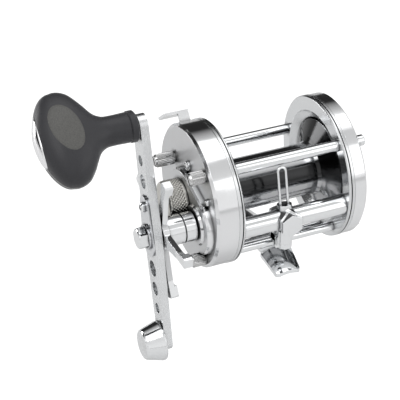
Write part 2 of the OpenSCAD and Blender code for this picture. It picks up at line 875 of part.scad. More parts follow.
// Two cupped spring washers, rim to rim
module drag_spring_washers() {
    x = gear_x[0] + 0.5 - 2;
    color(satin) handle_frame() {
        turned([[x - 0.02, 5.6], [x - 0.32, 5.6], [x - 0.72, 3.2], [x - 0.42, 3.2]]);
        turned([[x - 0.42 - 0.72, 5.6], [x - 0.42 - 0.42, 5.6], [x - 0.44 - 0.3, 3.2], [x - 0.44 - 0.6, 3.2]]);
    }
}

module drag_sleeve() {
    color(satin) handle_frame() pipe(nut_x[1] + 0.5, gear_x[0] - 2.7, sleeve_r, spindle_r + 0.02);
}

// Star drag: hub with a hexagonal pocket, and five flat arms
star_x = [arm_in + 0.6, arm_in + 2.8];
star_phase = 33;
hub_r = 6.1;
hub_groove = pad_face - 6.6;

module star_drag() {
    color(chrome) handle_frame() difference() {
        union() {
            for (i = [0:4]) rotate([star_phase + 72 * i, 0, 0]) star_arm();
            // Disc and hub with a turned groove
            turned([
                [star_x[0] - 0.2, 0], [star_x[0] - 0.2, 7], [star_x[1] + 0.2, 7], [star_x[1] + 0.2, hub_r],
                [hub_groove, hub_r], [hub_groove, hub_r - 0.6], [hub_groove + 0.6, hub_r - 0.6],
                [hub_groove + 0.6, hub_r], [boss_face - 0.6, hub_r], [boss_face - 0.6, 0]
            ]);
        }
        rod(-80, -20, spindle_r + running_gap);
        rod(nut_x[1] + 0.3, -20, sleeve_r + 0.06);
        hex(nut_x[0] - 0.6, nut_x[1] + 0.6, star_nut_w + 0.12);
    }
}
star_nut_w = 8;

// One flat arm that widens to a squared thumb end, thicker at the tip
module star_arm() {
    difference() {
        plate(star_x[0], star_x[1] + 1.2) polygon([
            [5, -2.7], [5, 2.7], [star_r - 7, 1.6], [star_r - 0.8, 2.2], [star_r, 1.7],
            [star_r, -1.7], [star_r - 0.8, -2.2], [star_r - 7, -1.6]
        ]);
        translate([star_x[1], 0, -5]) cube([5, star_r - 4.6, 10]);
    }
}

module star_nut() {
    color(brass) handle_frame() difference() {
        hex(nut_x[0], nut_x[1], star_nut_w);
        rod(-80, -20, spindle_r + 0.06);
    }
}

// Handle arm with rounded ends and three holes on each side of the shaft
arm_holes = [[14, 3.3], [22.8, 2.8], [31.4, 2.1]];

module along_arm() {
    handle_frame() rotate([arm_angle, 0, 0]) children();
}

module handle_arm() {
    color(chrome) along_arm() difference() {
        union() {
            for (s = [-1, 1]) hull() {
                rod(arm_out, arm_in, arm_mid_w / 2, $fn = 64);
                translate([0, s * knob_reach, 0]) rod(arm_out, arm_in, arm_end_w / 2, $fn = 64);
            }
        }
        intersection() {
            rod(arm_out - 1, arm_in + 1, spindle_r + 0.02);
            translate([arm_out - 2, -2.22, -4]) cube([10, 4.44, 8]);
        }
        for (s = [-1, 1]) for (h = arm_holes)
            translate([0, s * h[0], 0]) rod(arm_out - 1, arm_in + 1, h[1]);
        translate([0, 12.5, 0]) rod(arm_out - 1, arm_out + 2.6, 0.75);
        for (s = [-1, 1]) translate([0, s * knob_reach, 0]) rod(arm_out - 1, arm_in + 1, 1.6);
    }
}

retainer_t = 0.8;
nut_w = 8;

module handle_nut() {
    x0 = arm_out - 5.3;
    color(chrome) along_arm() difference() {
        intersection() {
            rotate([30, 0, 0]) hex(x0, arm_out - 0.02, nut_w);
            turned([
                [x0, 0], [x0, nut_w / 2 - 0.3], [x0 + 0.9, nut_w / 2 + 0.8],
                [arm_out, nut_w / 2 + 0.8], [arm_out, 0]
            ]);
        }
        rod(x0 + 1.4, arm_out + 1, 2.03);
    }
}

// Plate that keeps the nut from turning, held by one screw
module nut_retainer() {
    color(chrome) along_arm() difference() {
        union() {
            link(arm_out - retainer_t, arm_out, [-2.4, 0], [12.6, 0], 5.9, 4.4);
            rod(arm_out - retainer_t - 0.9, arm_out - 0.1, 5.1);
        }
        rotate([30, 0, 0]) hex(arm_out - 3, arm_out + 1, nut_w + 0.1);
        translate([0, 12.5, 0]) rod(arm_out - 3, arm_out + 1, 0.85);
    }
}

module retainer_screw() {
    x = arm_out - retainer_t;
    color(chrome) along_arm() translate([0, 12.5, 0]) difference() {
        union() {
            turned([[x, 0], [x, 2.0], [x - 1.0, 2.0], [x - 1.6, 1.3], [x - 1.8, 0]]);
            rod(x - 0.1, arm_out + 2.4, 0.73);
        }
        for (a = [0, 90]) rotate([a + 20, 0, 0]) translate([x - 2.2, -1.3, -0.25]) cube([1.1, 2.6, 0.5]);
    }
}

// Frustum weight opposite the knob, and its rivet
module counterweight() {
    color(chrome) along_arm() translate([0, -knob_reach, 0]) difference() {
        turned([
            [arm_out - 0.02, 0], [arm_out - 0.02, 7.9], [arm_out - 0.5, 8.15], [arm_out - 1.2, 8.15],
            [arm_out - 7.6, 6.3], [arm_out - 8.2, 5.7], [arm_out - 8.4, 5.2], [arm_out - 8.2, 0]
        ]);
        rod(arm_out - 4, arm_out + 1, 1.6);
    }
}

module counterweight_rivet() {
    color(chrome) along_arm() translate([0, -knob_reach, 0]) {
        rod(arm_out - 3.9, arm_in + 0.1, 1.58);
        turned([[arm_in, 0], [arm_in, 2.5], [arm_in + 0.5, 2.3], [arm_in + 0.9, 0]]);
    }
}

// Spindle riveted through the arm, carrying the knob
spindle_end = arm_out - 24;
module knob_spindle() {
    color(satin) along_arm() translate([0, knob_reach, 0]) {
        rod(spindle_end, arm_in + 0.1, 1.58);
        turned([[arm_in, 0], [arm_in, 2.5], [arm_in + 0.5, 2.3], [arm_in + 0.9, 0]]);
        rod(arm_out - 0.6, arm_out, 3.2);
    }
}

module knob_collar() {
    color(charcoal) along_arm() translate([0, knob_reach, 0]) difference() {
        turned([
            [arm_out - 0.7, 1.65], [arm_out - 0.7, 5.7], [arm_out - 1.2, 6.2], [arm_out - 3.2, 6.2],
            [arm_out - 3.7, 5.7], [arm_out - 3.7, 1.65]
        ]);
    }
}

// Grip: a sleeve that flares into a flattened cross-bar head
knob_tilt = 41;
head_x = arm_out - 28.2;
head_r = 9;
badge_x = head_x - 10.8;

module at_knob() {
    reel() at(drive_c) at(knob_reach * handle_angle_c) rotate([knob_tilt, 0, 0]) children();
}

module knob_grip() {
    color(charcoal) at_knob() difference() {
        union() {
            rod(arm_out - 24, arm_out - 3.7, 5.9);
            hull() {
                rod(arm_out - 21, arm_out - 19, 5, $fn = 24);
                for (s = [-1, 1]) {
                    translate([head_x + 1.5, s * (knob_head_l / 2 - head_r), 0]) sphere(head_r, $fn = 24);
                    translate([head_x - 2.5, s * (knob_head_l / 2 - head_r), 0]) sphere(head_r, $fn = 24);
                }
            }
        }
        rod(spindle_end - 0.2, arm_out + 1, 1.65);
        // Flat seat for the badge
        translate([badge_x - 5, -30, -30]) cube([5, 60, 60]);
    }
}

// Plain lens-shaped badge on the end of the knob
module knob_badge() {
    color(chrome) at_knob() link(badge_x - 0.9, badge_x, [-5.9, 0], [5.9, 0], 3.4, 3.4);
}

// ---------- clutch, pinion and cast control ----------

module clutch_yoke() {
    color(satin) reel() difference() {
        union() {
            link(yoke_out, yoke_in, [yoke_post_y, -yoke_post_z], [yoke_post_y, yoke_post_z], 1.9, 1.9);
            rod(yoke_out, yoke_in, 4.4);
            link(yoke_out, yoke_in, [0, 0], polar(10.6, lever_angle), 2.0, 1.6);
        }
        rod(-40, -20, pinion_neck_r + 0.05);
        for (s = [-1, 1]) at([yoke_post_y, s * yoke_post_z]) rod(-40, -20, 0.86);
    }
}
pinion_neck_r = 2.3;

module pinion() {
    pinion_in = bridge_in - 0.15;
    color(brass) reel() difference() {
        union() {
            plate(bridge_out - 5.9, bridge_out - 2)
                rotate(drive_angle + 180 / pinion_teeth) gear_outline(pinion_teeth, gear_m, 0.05);
            rod(bridge_out - 2, yoke_out - 0.05, 2.9);
            rod(yoke_out - 0.1, yoke_in + 0.1, pinion_neck_r);
            rod(yoke_in + 0.05, pinion_in, 2.9);
        }
        rod(-60, 0, shaft_r + 0.05);
        translate([drive_pin_x - 0.6, -0.52, -4]) cube([4, 1.04, 8]);
    }
}

// Clutch lever: a fin through the cover's rim, a thumb pad, and a wedge for the yoke
lever_x = [bridge_out - 3.1, -ring_out - 0.2];
stem_r = 28.9;
lever_t = 1.4;
lever_travel = 3.5;
yoke_lift = 1.4;
lever_foot_r = 12.4;
thumb_r = 34.6;

module clutch_lever() {
    color(chrome) reel() rotate([lever_angle, 0, 0]) {
        // Local Y is outward, local Z runs along the rim
        translate([0, 0, -lever_t / 2]) linear_extrude(lever_t) polygon([
            [bridge_out - 0.1, lever_foot_r], [bridge_out - 0.65, lever_foot_r],
            [bridge_out - 0.65 - yoke_lift, lever_foot_r + lever_travel],
            [lever_x[0], lever_foot_r + lever_travel + 4], [lever_x[0], thumb_r - 0.1],
            [lever_x[1], thumb_r - 0.1], [lever_x[1], stem_r], [bridge_out - 0.1, stem_r]
        ]);
        // Thumb pad, rounded at its far corner
        translate([lever_x[0] - 6, thumb_r - 1.1, -7.4]) cube([lever_x[1] - lever_x[0] + 6, 1.2, 8.1]);
    }
}

cap_r = 8.5;
module cast_control_cap() {
    color(chrome) reel() difference() {
        union() {
            knurled(cap_face + 1.5, pad_face - 1, cap_r, 0.22, 64);
            turned([
                [cap_face, 0], [cap_face, cap_r - 1.4], [cap_face + 1.2, cap_r - 0.4],
                [pad_face - 0.6, cap_r - 0.4], [pad_face - 0.1, cap_r - 0.8], [pad_face - 0.1, 0]
            ]);
        }
        rod(pad_face - 5.6, 0, cap_neck_r + running_gap);
    }
}

module cap_friction_disc() {
    color(fibre) reel() rod(pad_face - 5.58, pad_face - 5.05, 4.5);
}

// ---------- drawing ----------

gear_side_ring();
palm_side_ring();
frame_pillars();
level_wind_guide_bar();
foot();
foot_screws();
worm_shield();
worm_bushes();
bridge_plate();
gear_side_cover();
cover_screws();
thumb_screws();
drive_shaft_bush();
spool_bearings();
palm_cover();
palm_screws();
brake_drum();
clutch_springs();
dog_spring();
drive_shaft();
main_gear();
drag_metal_washers();
drag_fibre_washers();
drag_spring_washers();
drag_sleeve();
ratchet_wheel();
level_wind_drive_gear();
handle_arm();
handle_nut();
nut_retainer();
retainer_screw();
knob_spindle();
counterweight();
counterweight_rivet();
star_drag();
star_nut();
knob_grip();
knob_collar();
knob_badge();
spool();
spool_shaft();
spool_drive_pin();
click_wheel();
brake_holder();
brake_block_a();
brake_block_b();
clutch_yoke();
pinion();
clutch_lever();
cast_control_cap();
cap_friction_disc();
worm_shaft();
worm_cog();
guide_carriage();
line_guide_wire();
pawl_cap();
level_wind_pawl();
anti_reverse_dog();
click_button();
click_tongue();
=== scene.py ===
import json
import math

import bmesh
import bpy
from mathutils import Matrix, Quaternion, Vector


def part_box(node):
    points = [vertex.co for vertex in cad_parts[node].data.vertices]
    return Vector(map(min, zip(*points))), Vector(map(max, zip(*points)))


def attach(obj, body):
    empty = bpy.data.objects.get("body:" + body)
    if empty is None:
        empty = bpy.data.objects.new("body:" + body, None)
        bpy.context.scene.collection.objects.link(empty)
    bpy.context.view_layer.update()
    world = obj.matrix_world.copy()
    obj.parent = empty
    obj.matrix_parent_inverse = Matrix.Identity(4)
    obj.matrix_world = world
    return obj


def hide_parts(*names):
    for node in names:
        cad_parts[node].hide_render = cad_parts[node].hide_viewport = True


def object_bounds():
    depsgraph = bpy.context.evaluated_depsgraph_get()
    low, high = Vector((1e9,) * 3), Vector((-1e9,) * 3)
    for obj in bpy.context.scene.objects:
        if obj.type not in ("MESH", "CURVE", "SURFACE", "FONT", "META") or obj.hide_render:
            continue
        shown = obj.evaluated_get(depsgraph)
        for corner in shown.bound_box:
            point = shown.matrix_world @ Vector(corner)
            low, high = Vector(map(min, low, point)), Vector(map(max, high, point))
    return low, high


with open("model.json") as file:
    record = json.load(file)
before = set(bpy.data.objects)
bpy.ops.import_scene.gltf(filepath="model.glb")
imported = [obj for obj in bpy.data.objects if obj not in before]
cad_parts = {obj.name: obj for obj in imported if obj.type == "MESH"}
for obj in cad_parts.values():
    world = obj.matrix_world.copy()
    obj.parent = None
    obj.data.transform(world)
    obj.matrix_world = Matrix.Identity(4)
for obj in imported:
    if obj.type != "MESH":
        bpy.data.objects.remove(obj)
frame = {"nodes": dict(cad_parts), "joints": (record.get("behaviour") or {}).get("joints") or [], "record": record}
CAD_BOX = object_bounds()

MM = 0.001
TAU = 2 * math.pi
JOINTS = {j["name"]: j for j in frame["joints"]}


def joint_axis(name):
    """Where a joint's axis passes, as a point in the row frame."""
    return Vector(JOINTS[name]["pos_m"])


SPOOL_AXIS = joint_axis("spool_turn")
DRIVE_AXIS = joint_axis("handle_turn")
KNOB_AXIS = joint_axis("knob_spin")
WORM_AXIS = joint_axis("worm_turn")


# ---------- node helpers ----------

# Sockets of a Mix node that is set to mix colours
MIX_FACTOR, MIX_A, MIX_B, MIX_RESULT = 0, 6, 7, 2
# Painted shade in corners, creases and at grazing edges: its reach in metres, the share of base colour it takes
# away, and its ambient occlusion samples
PAINTED_SHADE_REACH = 2.6 * MM
PAINTED_CREVICE_SHADE = 0.86
PAINTED_SHADE_SAMPLES = 8
EDGE_SAMPLES = 4


class Shader:
    """A material's node tree, with short calls for the nodes that the finishes share."""

    def __init__(self, name):
        self.material = bpy.data.materials.new(name)
        self.material.use_nodes = True
        self.nodes = self.material.node_tree.nodes
        self.links = self.material.node_tree.links
        self.bsdf = self.nodes["Principled BSDF"]

    def link(self, source, target):
        self.links.new(source, target)

    def position(self, scale=(1, 1, 1)):
        """The point on the piece at rest, in metres, stretched by scale."""
        coordinate = self.nodes.new("ShaderNodeTexCoord")
        mapping = self.nodes.new("ShaderNodeMapping")
        mapping.inputs["Scale"].default_value = scale
        self.link(coordinate.outputs["Object"], mapping.inputs["Vector"])
        return mapping.outputs["Vector"]

    def math(self, operation, a, b=0.0):
        node = self.nodes.new("ShaderNodeMath")
        node.operation = operation
        for socket, value in zip(node.inputs, (a, b)):
            if isinstance(value, (int, float)):
                socket.default_value = value
            else:
                self.link(value, socket)
        return node.outputs[0]

    def turned_position(self, centre, across, around):
        """A point that varies across a lathe's grooves and hardly along them."""
        split = self.nodes.new("ShaderNodeSeparateXYZ")
        self.link(self.position(), split.inputs[0])
        y = self.math("SUBTRACT", split.outputs["Y"], centre.y)
        z = self.math("SUBTRACT", split.outputs["Z"], centre.z)
        squares = self.math("ADD", self.math("POWER", y, 2), self.math("POWER", z, 2))
        radius = self.math("SQRT", squares)
        angle = self.math("ARCTAN2", z, y)
        join = self.nodes.new("ShaderNodeCombineXYZ")
        self.link(self.math("MULTIPLY", radius, across), join.inputs["X"])
        self.link(self.math("MULTIPLY", split.outputs["X"], across), join.inputs["Y"])
        self.link(self.math("MULTIPLY", angle, around), join.inputs["Z"])
        return join.outputs[0]

    def noise(self, vector, scale, detail=2.0, roughness=0.5):
        node = self.nodes.new("ShaderNodeTexNoise")
        node.inputs["Scale"].default_value = scale
        node.inputs["Detail"].default_value = detail
        node.inputs["Roughness"].default_value = roughness
        self.link(vector, node.inputs["Vector"])
        return node.outputs["Fac"]

    def spread(self, value, low, high, start=0.3, end=0.7):
        """Maps a noise value onto low to high."""
        node = self.nodes.new("ShaderNodeMapRange")
        node.inputs["From Min"].default_value = start
        node.inputs["From Max"].default_value = end
        node.inputs["To Min"].default_value = low
        node.inputs["To Max"].default_value = high
        self.link(value, node.inputs["Value"])
        return node.outputs["Result"]

    def blend(self, value, a, b):
        """Colour a to colour b by value; either may be another node's colour."""
        node = self.nodes.new("ShaderNodeMix")
        node.data_type = "RGBA"
        for socket, colour in ((node.inputs[MIX_A], a), (node.inputs[MIX_B], b)):
            if isinstance(colour, tuple):
                socket.default_value = (*colour, 1)
            else:
                self.link(colour, socket)
        self.link(value, node.inputs[MIX_FACTOR])
        return node.outputs[MIX_RESULT]

    def tint(self, value, dark, light, painted_shade=0.0):
        """Base colour from dark to light, with painted shade that darkens it by the given share in corners,
        creases and at grazing edges.
        """
        colour = self.blend(value, dark, light)
        if painted_shade:
            # Painted shade: ambient occlusion in corners and a grazing view darken the base colour
            corner = self.nodes.new("ShaderNodeAmbientOcclusion")
            corner.samples = PAINTED_SHADE_SAMPLES
            corner.inputs["Distance"].default_value = PAINTED_SHADE_REACH
            depth = self.spread(corner.outputs["AO"], 0, 1, 0.35, 0.85)
            weight = self.nodes.new("ShaderNodeLayerWeight")
            weight.inputs["Blend"].default_value = 0.5
            grazing = self.spread(weight.outputs["Facing"], 1, 0.25, 0.74, 0.97)
            depth = self.math("MULTIPLY", depth, grazing)
            colour = self.blend(depth, darker(light, 1 - painted_shade), colour)
        self.link(colour, self.bsdf.inputs["Base Color"])

    def facing(self, axis, low, high, start=0.85, end=0.97):
        """Low to high as the resting surface turns to face along an axis of the row frame."""
        split = self.nodes.new("ShaderNodeSeparateXYZ")
        self.link(self.nodes.new("ShaderNodeTexCoord").outputs["Normal"], split.inputs[0])
        return self.spread(self.math("ABSOLUTE", split.outputs[axis]), low, high, start, end)

    def paint_light_by_facing(self, stops):
        """Painted light and shade in the base colour, by how far the surface faces up (1) or down (0), as (place,
        grey) stops.
        """
        split = self.nodes.new("ShaderNodeSeparateXYZ")
        self.link(self.nodes.new("ShaderNodeNewGeometry").outputs["Normal"], split.inputs[0])
        ramp = self.nodes.new("ShaderNodeValToRGB")
        elements = ramp.color_ramp.elements
        while len(elements) < len(stops):
            elements.new(0.5)
        for element, (place, grey) in zip(elements, stops):
            element.position = place
            element.color = (grey, grey * 1.01, grey * 1.03, 1)
        self.link(self.spread(split.outputs["Z"], 0, 1, -1, 1), ramp.inputs[0])
        self.link(ramp.outputs[0], self.bsdf.inputs["Base Color"])

    def relief(self, height, depth, edge=0.0):
        """Bump of a depth in metres over edges rounded by a radius in metres."""
        bump = self.nodes.new("ShaderNodeBump")
        bump.inputs["Strength"].default_value = 1.0
        bump.inputs["Distance"].default_value = depth
        self.link(height, bump.inputs["Height"])
        if edge:
            bevel = self.nodes.new("ShaderNodeBevel")
            bevel.samples = EDGE_SAMPLES
            bevel.inputs["Radius"].default_value = edge
            self.link(bevel.outputs[0], bump.inputs["Normal"])
        self.link(bump.outputs[0], self.bsdf.inputs["Normal"])


def darker(colour, share):
    return tuple(channel * share for channel in colour)


def polished(name, colour, rough, edge=0.25 * MM, haze=0.05):
    """Polished plate with faint handling haze and hair scratches, and painted shade in corners and at grazing
    edges.
    """
    shader = Shader(name)
    shader.bsdf.inputs["Metallic"].default_value = 1.0
    haze_noise = shader.noise(shader.position(), 140, 4)
    shader.tint(haze_noise, darker(colour, 0.93), colour, PAINTED_CREVICE_SHADE)
    shader.link(shader.spread(haze_noise, rough, rough + haze), shader.bsdf.inputs["Roughness"])
    scratches = shader.noise(shader.position((900, 5000, 5000)), 1.0, 3)
    shader.relief(scratches, 0.0012 * MM, edge)
    return shader.material


def brushed(name, colour, rough, stretch, edge=0.2 * MM, depth=0.004 * MM, painted_shade=PAINTED_CREVICE_SHADE):
    """Satin metal with fine grain that runs the long way of stretch, and painted shade in corners and at grazing
    edges.
    """
    shader = Shader(name)
    shader.bsdf.inputs["Metallic"].default_value = 1.0
    grain = shader.noise(shader.position(stretch), 1.0, 4, 0.6)
    wear = shader.noise(shader.position(), 160, 3)
    shader.tint(wear, darker(colour, 0.9), colour, painted_shade)
    shader.link(shader.spread(grain, rough, rough + 0.16), shader.bsdf.inputs["Roughness"])
    shader.relief(grain, depth, edge)
    return shader.material


def turned(name, colour, rough, centre, depth=0.003 * MM, edge=0.25 * MM):
    """Lathe-turned metal with fine rings about an axis, and painted shade in corners and at grazing edges."""
    shader = Shader(name)
    shader.bsdf.inputs["Metallic"].default_value = 1.0
    rings = shader.noise(shader.turned_position(centre, 6000, 0.6), 1.0, 2)
    broad = shader.noise(shader.turned_position(centre, 260, 1.2), 1.0, 3)
    shader.tint(broad, darker(colour, 0.92), colour, PAINTED_CREVICE_SHADE)
    shader.link(shader.spread(broad, rough, rough + 0.07), shader.bsdf.inputs["Roughness"])
    shader.relief(rings, depth, edge)
    return shader.material


def faced(name, colour, rough, face_rough, centre):
    """Turned plate with a polished rim and a satin flat face, and painted shade in corners and at grazing edges.
    """
    shader = Shader(name)
    shader.bsdf.inputs["Metallic"].default_value = 1.0
    rings = shader.noise(shader.turned_position(centre, 6000, 0.6), 1.0, 2)
    haze = shader.noise(shader.position(), 150, 4)
    shader.tint(shader.facing("X", 1, 0), darker(colour, 0.74), colour, PAINTED_CREVICE_SHADE)
    base_rough = shader.facing("X", rough, face_rough)
    hazed_rough = shader.math("ADD", base_rough, shader.spread(haze, 0, 0.05))
    shader.link(hazed_rough, shader.bsdf.inputs["Roughness"])
    shader.relief(rings, 0.002 * MM, 0.25 * MM)
    return shader.material


# Painted reflections and shade on the dark spool metal, as grey by how far its surface faces up: 0 is down, 0.5 is
# level, 1 is up
SPOOL_PAINTED_LIGHT_GREYS = [(0.0, 0.40), (0.48, 0.50), (0.56, 0.07), (0.80, 0.045), (0.89, 0.8), (1.0, 0.5)]


def dark_spool_painted_light(name, centre):
    """Dark spool metal with painted reflections: near black painted shade where it faces a little upwards, a
    bright painted highlight where it faces the lamps.
    """
    shader = Shader(name)
    shader.bsdf.inputs["Metallic"].default_value = 1.0
    rings = shader.noise(shader.turned_position(centre, 3000, 0.8), 1.0, 3)
    shader.paint_light_by_facing(SPOOL_PAINTED_LIGHT_GREYS)
    shader.link(shader.spread(rings, 0.10, 0.16), shader.bsdf.inputs["Roughness"])
    shader.relief(rings, 0.001 * MM, 0.2 * MM)
    return shader.material


def moulded(name, dark, light, rough, grain_scale, depth, speckle=1.0):
    """Moulded plastic or rubber with a fine stipple."""
    shader = Shader(name)
    stipple = shader.noise(shader.position(), grain_scale, 2, 0.7)
    rubbed = shader.noise(shader.position(), 90, 3)
    shader.tint(shader.math("MULTIPLY", stipple, speckle), dark, light)
    shader.link(shader.spread(rubbed, rough, rough + 0.12), shader.bsdf.inputs["Roughness"])
    shader.relief(stipple, depth)
    shader.bsdf.inputs["Sheen Weight"].default_value = 0.25
    shader.bsdf.inputs["Sheen Roughness"].default_value = 0.4
    return shader.material


FINISH = {
    "chrome": polished("chrome", (0.86, 0.87, 0.88), 0.06),
    "satin_steel": brushed("satin_steel", (0.70, 0.71, 0.73), 0.26, (400, 5000, 5000)),
    "dark_spool": dark_spool_painted_light("dark_spool", SPOOL_AXIS),
    "brass": brushed("brass", (0.80, 0.60, 0.28), 0.24, (2500, 900, 900)),
    "charcoal_grip": moulded("charcoal_grip", (0.024, 0.024, 0.027), (0.052, 0.052, 0.058),
                             0.36, 3200, 0.03 * MM),
    "badge": polished("badge", (0.93, 0.93, 0.94), 0.05),
    "fibre": moulded("fibre", (0.10, 0.055, 0.03), (0.24, 0.14, 0.08), 0.6, 2600, 0.04 * MM),
    "nylon": moulded("nylon", (0.74, 0.71, 0.62), (0.86, 0.84, 0.76), 0.32, 1200, 0.01 * MM),
    "spring_steel": brushed("spring_steel", (0.55, 0.55, 0.57), 0.22, (3000, 3000, 400)),
}
# Nodes that differ from the rest of their slot
COVER_METAL = faced("cover_chrome", (0.83, 0.835, 0.845), 0.09, 0.30, SPOOL_AXIS)
SPECIAL = {
    "gear_side_cover": COVER_METAL,
    "palm_cover": COVER_METAL,
    "gear_side_ring": turned("ring_chrome", (0.80, 0.81, 0.82), 0.12, SPOOL_AXIS),
    "palm_side_ring": turned("ring_satin", (0.78, 0.79, 0.80), 0.16, SPOOL_AXIS),
    # The arm takes a lighter share of painted shade in its corners and at grazing edges
    "handle_arm": brushed("arm_satin", (0.80, 0.81, 0.82), 0.17, (3000, 500, 500),
                          edge=0.1 * MM, depth=0.0003 * MM, painted_shade=0.5),
    "thumb_screws": polished("knurled_screws", (0.62, 0.62, 0.62), 0.12, 0.1 * MM),
    "nut_retainer": polished("retainer_plate", (0.72, 0.73, 0.75), 0.12),
    "counterweight": turned("weight_chrome", (0.84, 0.85, 0.86), 0.08, DRIVE_AXIS),
}


def dress_cad_nodes():
    """Every carried-over CAD node takes its own finish, or else the one of its slot in the record."""
    for part in frame["record"]["subparts"]:
        node = frame["nodes"][part["node"]]
        node.data.materials.clear()
        node.data.materials.append(SPECIAL.get(part["node"], FINISH[part["material_slot"]]))


# ---------- mesh helpers ----------

def piece(name, vertices, faces, finish, body, replaced):
    """A mesh piece that rides on a body and stands for CAD nodes."""
    mesh = bpy.data.meshes.new(name)
    mesh.from_pydata(vertices, [], faces)
    shape = bmesh.new()
    shape.from_mesh(mesh)
    bmesh.ops.recalc_face_normals(shape, faces=shape.faces)
    shape.to_mesh(mesh)
    shape.free()
    for polygon in mesh.polygons:
        polygon.use_smooth = True
    mesh.materials.append(finish)
    obj = bpy.data.objects.new(name, mesh)
    bpy.context.scene.collection.objects.link(obj)
    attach(obj, body)
    if replaced:
        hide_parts(*replaced)


def tube_faces(rings, around):
    """Quads of a closed skin over rings of points, with a fan at each end."""
    faces = []
    for i in range(rings - 1):
        for j in range(around):
            k = (j + 1) % around
            faces.append((i * around + j, i * around + k, (i + 1) * around + k, (i + 1) * around + j))
    first, last = rings * around, rings * around + 1
    for j in range(around):
        k = (j + 1) % around
        faces.append((first, k, j))
        faces.append((last, (rings - 1) * around + j, (rings - 1) * around + k))
    return faces


def skin(name, rows, finish, body, replaced):
    """A closed piece from rows of points, each row a ring in the same order."""
    around = len(rows[0])
    vertices = [point for row in rows for point in row]
    for row in (rows[0], rows[-1]):
        vertices.append(sum(row, Vector()) / around)
    piece(name, vertices, tube_faces(len(rows), around), finish, body, replaced)


def lens_rows(rings, around, skins_at):
    """Rows of a closed lens; skins_at(share, angle) gives its top and bottom point there."""
    top, bottom = [], []
    for i in range(1, rings + 1):
        pairs = [skins_at(i / rings, TAU * j / around) for j in range(around)]
        top.append([upper for upper, _ in pairs])
        bottom.append([lower for _, lower in pairs])
    return top + bottom[::-1]


def through(points, t):
    """Smooth value at t through (t, value) points."""
    for i in range(len(points) - 1):
        if t <= points[i + 1][0] or i == len(points) - 2:
            break
    before = points[max(i - 1, 0)]
    start, end = points[i], points[i + 1]
    after = points[min(i + 2, len(points) - 1)]
    span = end[0] - start[0]
    s = min(max((t - start[0]) / span, 0), 1)
    slope_in = (end[1] - before[1]) / max(end[0] - before[0], 1e-9) * span
    slope_out = (after[1] - start[1]) / max(after[0] - start[0], 1e-9) * span
    a = 2 * s ** 3 - 3 * s ** 2 + 1
    b = s ** 3 - 2 * s ** 2 + s
    c = -2 * s ** 3 + 3 * s ** 2
    d = s ** 3 - s ** 2
    return a * start[1] + b * slope_in + c * end[1] + d * slope_out


# ---------- knob ----------

KNOB_TILT = math.radians(41)
ALONG = Vector((0, math.cos(KNOB_TILT), math.sin(KNOB_TILT)))
FLAT = Vector((0, -math.sin(KNOB_TILT), math.cos(KNOB_TILT)))
GRIP_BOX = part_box("knob_grip")
GRIP_START = GRIP_BOX[1].x
GRIP_LENGTH = (GRIP_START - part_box("knob_badge")[0].x) / MM

# Half the length and half the thickness of the grip, by distance from its sleeve end, in mm
HALF_LENGTH = [(0, 5.9), (7, 5.8), (10, 6.2), (13, 8.2), (16, 12.6), (19.5, 17.0),
               (22, 18.6), (24.5, 19.2), (27, 18.9)]
HALF_THICKNESS = [(0, 5.9), (7, 5.8), (10, 6.0), (13, 6.7), (16, 7.7), (19.5, 8.7),
                  (22, 9.1), (24.5, 9.2), (27, 9.0)]
# Where the rounded far end starts in mm, and the powers that shape its outline and the head's section
END_START = 27.0
END_POWER = 1.78
SQUARENESS = 2.25
# The section goes from the sleeve's circle to the head's squarer oval over this stretch, in mm
SLEEVE_END, OVAL_RUN = 8, 9


def grip_size(d):
    """Half length and half thickness at a distance d from the sleeve end, in mm."""
    if d <= END_START:
        return through(HALF_LENGTH, d), through(HALF_THICKNESS, d)
    share = min((d - END_START) / (GRIP_LENGTH - END_START), 1)
    return (HALF_LENGTH[-1][1] * (1 - share ** END_POWER) ** (1 / END_POWER),
            HALF_THICKNESS[-1][1] * math.sqrt(1 - share ** 2))


def knob_point(d, along, flat):
    """A row-frame point from distances in mm."""
    point = KNOB_AXIS + (ALONG * along + FLAT * flat) * MM
    point.x = GRIP_START - d * MM
    return point


def signed_power(value, exponent):
    return math.copysign(abs(value) ** exponent, value)


def make_grip():
    around, steps, end_steps = 96, 70, 30
    stations = [END_START * i / steps for i in range(steps + 1)]
    depth = GRIP_LENGTH - END_START
    stations += [END_START + depth * math.sin(math.pi / 2 * i / end_steps) for i in range(1, end_steps)]
    rows = []
    for d in stations:
        half_length, half_thickness = grip_size(d)
        blend = min(max((d - SLEEVE_END) / OVAL_RUN, 0), 1)
        power = 2 / (2 + (SQUARENESS - 2) * blend)
        rows.append([knob_point(d, half_length * signed_power(math.cos(TAU * j / around), power),
                                half_thickness * signed_power(math.sin(TAU * j / around), power))
                     for j in range(around)])
    skin("knob_grip_sculpted", rows, FINISH["charcoal_grip"], "knob", ["knob_grip"])


def grip_flat(d, along):
    """Height of the grip's flat side at a place on it, in mm."""
    half_length, half_thickness = grip_size(d)
    inside = max(1 - abs(along / half_length) ** SQUARENESS, 0)
    return half_thickness * inside ** (1 / SQUARENESS)


INSET_CENTRE = (25.0, 2.2)
INSET_HALF = (6.0, 10.0)
INSET_TILT = math.radians(12)
INSET_PROUD = 0.22
INSET_RIM_SUNK = 0.05
INSET_DEPTH = 0.8
INSET_RIM_SLOPE = 9


